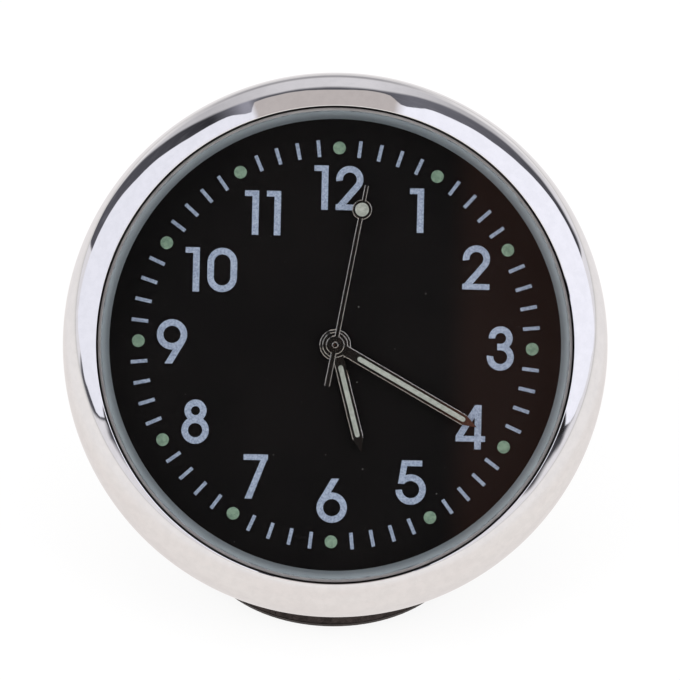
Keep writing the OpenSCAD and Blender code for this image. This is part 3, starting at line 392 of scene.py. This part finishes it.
def makeCrystalEdge():
    crystalLow, crystalHigh = clockBox("crystal")
    outline = []
    for off in crystalEdge["skin"]:
        side = crystalHigh.x + off
        rise = off * crystalEdge["skinRise"]
        band = [(side - crystalEdge["chamfer"], crystalHigh.z + rise),
                (side, crystalHigh.z - crystalEdge["chamfer"] + rise),
                (side, crystalLow.z + crystalEdge["foot"])]
        outline += band if not outline else band[::-1]
    shape = turnOutline(outline, crystalEdge["segments"])
    shape.transform(clockFrame)
    addPiece("crystalGroundEdge", shape, crystalEdge["sharpAngle"], "insert", "crystal_glass")


makeCrystalEdge()

# Luminous dots: low blobs of paint with slightly uneven rims
dots = {"count": 12, "radius": 0.00051, "middleRadius": 1e-6, "rimHeight": 0.35, "segments": 40, "rings": 7,
        "uneven": 0.045, "lobes": 1.6, "unlike": 3.7, "sharpAngle": 40}


def makeDots():
    dotsLow, dotsHigh = clockBox("lume_dots")
    height = dotsHigh.z - dotsLow.z
    outline = [(dots["middleRadius"], 0.0), (dots["radius"], 0.0)]
    for j in range(dots["rings"] + 1):
        share = j / dots["rings"]
        domed = dots["rimHeight"] + (1 - dots["rimHeight"]) * math.sin(share * math.pi / 2)
        outline.append((dots["radius"] * (1 - share) + dots["middleRadius"], height * domed))
    shape = bmesh.new()
    for i in range(dots["count"]):
        turn = 2 * math.pi * i / dots["count"]
        middle = Vector((math.cos(turn), math.sin(turn), 0)) * (dotsHigh.x - dots["radius"])
        middle.z = dotsLow.z
        start = len(shape.verts)
        turnOutline(outline, dots["segments"], shape)
        shape.verts.ensure_lookup_table()
        for vert in shape.verts[start:]:
            direction = Vector((vert.co.x, vert.co.y, 0)).normalized()
            swell = noise.noise(direction * dots["lobes"] + Vector((i * dots["unlike"], 0, 0)))
            vert.co.xy *= 1 - dots["uneven"] * toUnit(swell)
            vert.co += middle
    shape.transform(clockFrame)
    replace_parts(addPiece("dialDots", shape, dots["sharpAngle"], "insert", "dot_lume"), "lume_dots")


makeDots()

# Foam pad: a die-cut disc with open cells on its edge, a little drawn in at mid height
foam = {"waist": 0.00010, "corner": 0.00012, "faceRings": (0.001, 0.3, 0.6, 0.85, 0.95), "edgeFrom": 0.97,
        "cell": 0.00007, "cellNoise": ((0.6, 5200), (0.4, 2100)), "segments": 420, "steps": 14,
        "sharpAngle": 60}


def makeFoam():
    radius, height = padHigh.x, padHigh.z - padLow.z
    outline = [(radius * share, padLow.z) for share in foam["faceRings"]]
    for i in range(foam["steps"] + 1):
        share = i / foam["steps"]
        toCorner = min(share, 1 - share) * height / foam["corner"]
        drawnIn = foam["waist"] * math.sin(math.pi * share) + foam["corner"] * max(0.0, 1 - toCorner) ** 2
        outline.append((radius - drawnIn, padLow.z + height * share))
    outline += [(radius * share, padHigh.z) for share in reversed(foam["faceRings"])]
    shape = turnOutline(outline, foam["segments"])
    for vert in shape.verts:
        flat = Vector((vert.co.x, vert.co.y, 0))
        if flat.length > radius * foam["edgeFrom"]:
            cells = sum(share * noise.noise(vert.co * scale) for share, scale in foam["cellNoise"])
            vert.co -= flat.normalized() * foam["cell"] * toUnit(cells)
    piece = addPiece("foamDisc", shape, foam["sharpAngle"], "housing", "pad_foam")
    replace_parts(piece, "foam_pad")


makeFoam()
print("pieces made: bezel, crystal edge, dots, foam")

# Floor: pale paper, white to the camera and softly toned in reflections, but for the object's shadow
floorLook = {"size": 4.0, "color": (0.90, 0.895, 0.885), "glow": (1.014, 0.967, 0.942),
             "dimGlow": (0.978, 0.919, 0.894), "mottleScale": 45.0, "mottleLevels": (0.35, 0.65),
             "around": (0.03, 0.08), "aroundGlow": (1.04, 1.015, 1.025), "aroundShare": 0.85,
             "far": (0.12, 0.70), "farGlow": (0.80, 0.79, 0.79), "glowShare": 0.86}


def backgroundShare(tree):                              # camera rays, and all rays that see the studio
    path = addNode(tree, "ShaderNodeLightPath").outputs
    seen = mathNode(tree, "MAXIMUM", path["Is Camera Ray"], path["Is Glossy Ray"])
    return path["Is Camera Ray"], mathNode(tree, "MAXIMUM", seen, path["Is Transmission Ray"])


def makeFloor():
    half = floorLook["size"] / 2
    corners = [(-half, -half, 0), (half, -half, 0), (half, half, 0), (-half, half, 0)]
    mesh = bpy.data.meshes.new("studioFloor")
    mesh.from_pydata(corners, [], [(0, 1, 2, 3)])
    floor = bpy.data.objects.new("studioFloor", mesh)
    bpy.context.scene.collection.objects.link(floor)
    material = bpy.data.materials.new("paperFloor")
    material.use_nodes = True
    tree = material.node_tree
    shader = tree.nodes["Principled BSDF"]
    shader.inputs["Base Color"].default_value = rgba(floorLook["color"])
    shader.inputs["Roughness"].default_value = 1.0
    shader.inputs["Specular IOR Level"].default_value = 0.0
    toCamera, seen = backgroundShare(tree)
    place = addNode(tree, "ShaderNodeTexCoord").outputs["Object"]
    mottle = addNode(tree, "ShaderNodeTexNoise", {"Vector": place, "Scale": floorLook["mottleScale"],
                                                  "Detail": 6.0, "Roughness": 0.7}).outputs["Fac"]
    mottleShare = stepNode(tree, mottle, *floorLook["mottleLevels"], 0.0, 1.0)
    paper = blendNode(tree, mottleShare, rgba(floorLook["dimGlow"]), rgba(floorLook["glow"]))
    distance = addNode(tree, "ShaderNodeVectorMath", {0: place}, operation="LENGTH").outputs["Value"]
    aroundShare = stepNode(tree, distance, *floorLook["around"], 0.0, floorLook["aroundShare"])
    paper = blendNode(tree, aroundShare, paper, rgba(floorLook["aroundGlow"]))
    farShare = stepNode(tree, distance, *floorLook["far"], 0.0, 1.0)
    paper = blendNode(tree, farShare, paper, rgba(floorLook["farGlow"]))
    glow = addNode(tree, "ShaderNodeEmission", {"Color": blendNode(tree, toCamera, paper, white),
                                                "Strength": 1.0})
    mix = addNode(tree, "ShaderNodeMixShader", {0: mathNode(tree, "MULTIPLY", seen, floorLook["glowShare"]),
                                                1: shader.outputs["BSDF"], 2: glow.outputs["Emission"]})
    tree.links.new(mix.outputs["Shader"], tree.nodes["Material Output"].inputs["Surface"])
    mesh.materials.append(material)


makeFloor()

# What the chrome and the glass see round the clock. Lists give a value by clock angle in degrees, and depth
# runs from -1 behind the dial to 1 in front of it. Two bright soft boxes stand left and right of a dimmer
# ceiling, with a dark gap and the rear of the room behind them, and a dark zone round the camera.
studio = {
    "boxEdge": [(-180, 1.2), (-110, 1.0), (-108, 0.53), (-106, 0.475), (-100, 0.31), (-92, 0.17),
                (-86, -0.02), (-76, -0.14), (-60, -0.16), (-45, 0.07), (-37, 0.25), (-26, 0.335),
                (-20.8, 0.50), (-20, 0.14), (0, 0.15), (11, 0.14), (14.5, 0.46), (20, 0.26), (30, 0.14),
                (45, -0.02), (60, -0.19), (86, -0.08), (91, 0.08), (100, 0.30), (106, 0.475), (108, 0.60),
                (110, 1.0), (180, 1.2)],
    "rearEdge": [(-130, 1.2), (-124, 0.87), (-115, 0.71), (-112, 0.69), (-109.5, 0.71), (-108, 0.44),
                 (-100, 0.20), (-95, 0.19), (-89, 0.3), (-72, 0.1), (-67, -0.62), (-58, -0.60),
                 (-45, -0.48), (-32, -0.17), (-20, -0.01), (0, 0.03), (11, 0.00), (16, -0.14), (30, -0.32),
                 (45, -0.36), (60, -0.35), (68, -0.28), (73, 0.2), (92, 0.3), (106, 0.49), (109, 0.58),
                 (112, 0.58), (115, 0.66), (118, 0.72), (127, 0.77), (136, 1.2)],
    "nearEdge": [(-114, 0.805), (-110, 0.70), (-106, 0.735), (-104, 0.805), (103, 0.805), (105, 0.74),
                 (108, 0.64), (110, 0.64), (114, 0.805)],
    "boxSoftness": 0.035, "rearSoftness": (0.09, 0.07), "nearSoftness": 0.055,
    "boxes": [(-20.8, (1.085, 1.105, 1.23)), (-20, (0.649, 0.603, 0.60)), (13.5, (0.649, 0.603, 0.60)),
              (14.5, (1.19, 1.21, 1.345))],
    "gap": [(-90, 0.10), (-60, 0.12), (-42, 0.08), (-30, 0.035), (-25, 0.20), (-21.5, 0.45), (-19, 0.13),
            (8, 0.10), (16, 0.20), (30, 0.16), (60, 0.06)],
    "rear": [(-60, 0.97), (-30, 0.64), (-12, 0.86), (6, 0.90), (30, 0.60), (58, 1.0)],
    "gapTint": (0.97, 0.975, 1.16), "rearTint": (0.995, 0.985, 1.04),
    "farDepths": (-0.66, -0.52), "rearFar": (1.075, 1.06, 1.075),
    "rimDepth": -0.68, "rimWidths": (0.03, 0.15), "rimLine": (0.466, 0.457, 0.485),
    "rimMiddle": -0.12, "rimReach": (0.20, 0.70),       # radians round the clock
    "nearCamera": (0.023, 0.022, 0.023), "warmPatch": (0.205, 0.090, 0.066),
    "warmFrom": (0.016, 0.022), "warmTo": (0.06, 0.16),
    "wobble": 0.08, "wobbleScale": 7.0,
    "streak": (-0.03, 0.06), "streakLevels": (0.35, 0.75), "streakAngleScale": 90.0, "streakDepthScale": 16.0,
    "ambient": (0.90, 0.90, 0.91)}


def angleRamp(tree, angleShare, stops, toColor, interpolation="LINEAR"):
    node = addNode(tree, "ShaderNodeValToRGB", {"Fac": angleShare})
    node.color_ramp.interpolation = interpolation
    elements = node.color_ramp.elements
    elements.remove(elements[0])
    for index, (angle, value) in enumerate(stops):
        position = angle / 360 + 0.5
        element = elements[0] if index == 0 else elements.new(position)
        element.position = position
        element.color = toColor(value)
    return node.outputs["Color"]


def makeWorld():
    world = bpy.data.worlds.new("studioWorld")
    bpy.context.scene.world = world
    world.use_nodes = True
    tree = world.node_tree
    place = addNode(tree, "ShaderNodeTexCoord").outputs["Generated"]

    def along(axis):
        node = addNode(tree, "ShaderNodeVectorMath", {0: place, 1: axis}, operation="DOT_PRODUCT")
        return node.outputs["Value"]

    def depthRamp(stops):                               # a depth kept as a grey between 0 and 1
        grey = angleRamp(tree, angleShare, stops, lambda depth: rgba([depth / 2 + 0.5] * 3), "CARDINAL")
        return mathNode(tree, "MULTIPLY_ADD", grey, 2.0, -1.0)

    def tone(name):                                     # a tinted grey by clock angle
        tint = studio[name + "Tint"]
        return angleRamp(tree, angleShare, studio[name], lambda grey: rgba([grey * part for part in tint]))

    def past(edge, softness):                           # 1 in front of a depth, 0 behind it
        return stepNode(tree, depth, edge, mathNode(tree, "ADD", edge, softness), 0.0, 1.0)

    depth, across = along(dialOut), along(dialRight)
    angle = mathNode(tree, "ARCTAN2", across, along(dialUp))
    angleShare = mathNode(tree, "MULTIPLY_ADD", angle, 1 / (2 * math.pi), 0.5)
    unrest = addNode(tree, "ShaderNodeTexNoise", {"Vector": place, "Scale": studio["wobbleScale"],
                                                  "Detail": 3.0}).outputs["Fac"]
    wobble = mathNode(tree, "MULTIPLY_ADD", unrest, studio["wobble"], -studio["wobble"] / 2)
    boxEdge = mathNode(tree, "ADD", depthRamp(studio["boxEdge"]), wobble)
    rearEdge = mathNode(tree, "ADD", depthRamp(studio["rearEdge"]), wobble)

    # Rear of the room, with a streaky border to the gap and a thin darker line overhead
    streakX = mathNode(tree, "MULTIPLY", angleShare, studio["streakAngleScale"])
    streakY = mathNode(tree, "MULTIPLY", depth, studio["streakDepthScale"])
    streakPlace = addNode(tree, "ShaderNodeCombineXYZ", {"X": streakX, "Y": streakY}).outputs[0]
    streak = addNode(tree, "ShaderNodeTexNoise", {"Vector": streakPlace, "Scale": 1.0, "Detail": 4.0})
    rearStart = mathNode(tree, "SUBTRACT", rearEdge, studio["rearSoftness"][0])
    rearEnd = mathNode(tree, "ADD", rearEdge, studio["rearSoftness"][1])
    rearShare = stepNode(tree, depth, rearStart, rearEnd, 1.0, 0.0)
    streaky = stepNode(tree, streak.outputs["Fac"], *studio["streakLevels"], *studio["streak"])
    rearShare = addNode(tree, "ShaderNodeMath", {0: rearShare, 1: streaky}, operation="ADD",
                        use_clamp=True).outputs[0]
    rear = blendNode(tree, rearShare, tone("gap"), tone("rear"))
    farShare = stepNode(tree, depth, *studio["farDepths"], 1.0, 0.0)
    rear = blendNode(tree, farShare, rear, rgba(studio["rearFar"]))
    fromRim = mathNode(tree, "ABSOLUTE", mathNode(tree, "ADD", depth, -studio["rimDepth"]))
    fromMiddle = mathNode(tree, "ABSOLUTE", mathNode(tree, "ADD", angle, -studio["rimMiddle"]))
    overhead = stepNode(tree, fromMiddle, *studio["rimReach"], 1.0, 0.0)
    rimShare = mathNode(tree, "MULTIPLY", stepNode(tree, fromRim, *studio["rimWidths"], 1.0, 0.0), overhead)
    rear = blendNode(tree, rimShare, rear, rgba(studio["rimLine"]))

    # Boxes in front of it, and the zone round the camera with its warm patch
    warmShare = mathNode(tree, "MULTIPLY", stepNode(tree, across, *studio["warmFrom"], 0.0, 1.0),
                         stepNode(tree, across, *studio["warmTo"], 1.0, 0.0))
    near = blendNode(tree, warmShare, rgba(studio["nearCamera"]), rgba(studio["warmPatch"]))
    boxes = angleRamp(tree, angleShare, studio["boxes"], rgba)
    room = blendNode(tree, past(boxEdge, studio["boxSoftness"]), rear, boxes)
    room = blendNode(tree, past(depthRamp(studio["nearEdge"]), studio["nearSoftness"]), room, near)
    toCamera, seen = backgroundShare(tree)
    lit = blendNode(tree, seen, rgba(studio["ambient"]), room)
    tree.links.new(blendNode(tree, toCamera, lit, white), tree.nodes["Background"].inputs["Color"])


makeWorld()

# Soft lamps for the matt surfaces, placed in the clock's frame (metres, watts)
lamps = {"leftLamp": {"at": (-0.30, 0.06, 0.30), "size": 0.30, "power": 0.75},
         "rightLamp": {"at": (0.30, 0.06, 0.30), "size": 0.30, "power": 0.75},
         "topLamp": {"at": (0.0, 0.36, 0.16), "size": 0.35, "power": 0.35}}
for lampName, lamp in lamps.items():
    light = bpy.data.lights.new(lampName, "AREA")
    light.size, light.energy = lamp["size"], lamp["power"]
    holder = bpy.data.objects.new(lampName, light)
    holder.location = clockFrame @ Vector(lamp["at"])
    holder.rotation_euler = (clockFrame.translation - holder.location).to_track_quat("-Z", "Y").to_euler()
    holder.visible_glossy = False                       # the chrome sees the boxes in the world instead
    bpy.context.scene.collection.objects.link(holder)
print("studio lit")

# Camera square to the dial, rolled a little as in the photograph
camera = {"distance": 0.50, "roll": 1.25, "pixelsPerMetre": 12670.0, "imageSize": 680,
          "middle": (335.2, 344.9), "clip": (0.01, 20.0)}


def makeCamera():
    data = bpy.data.cameras.new("photoCamera")
    viewer = bpy.data.objects.new("photoCamera", data)
    bpy.context.scene.collection.objects.link(viewer)
    data.lens = data.sensor_width * camera["distance"] * camera["pixelsPerMetre"] / camera["imageSize"]
    data.clip_start, data.clip_end = camera["clip"]
    roll = math.radians(camera["roll"])
    right = dialRight * math.cos(roll) + dialUp * math.sin(roll)
    up = dialUp * math.cos(roll) - dialRight * math.sin(roll)
    aside = (camera["imageSize"] / 2 - camera["middle"][0]) / camera["pixelsPerMetre"]
    above = (camera["middle"][1] - camera["imageSize"] / 2) / camera["pixelsPerMetre"]
    place = clockFrame.translation + dialOut * camera["distance"] + right * aside + up * above
    viewer.matrix_world = Matrix.Translation(place) @ Matrix((right, up, dialOut)).transposed().to_4x4()
    bpy.context.scene.camera = viewer


makeCamera()
bpy.context.scene.view_settings.view_transform = "Standard"
print("camera set")
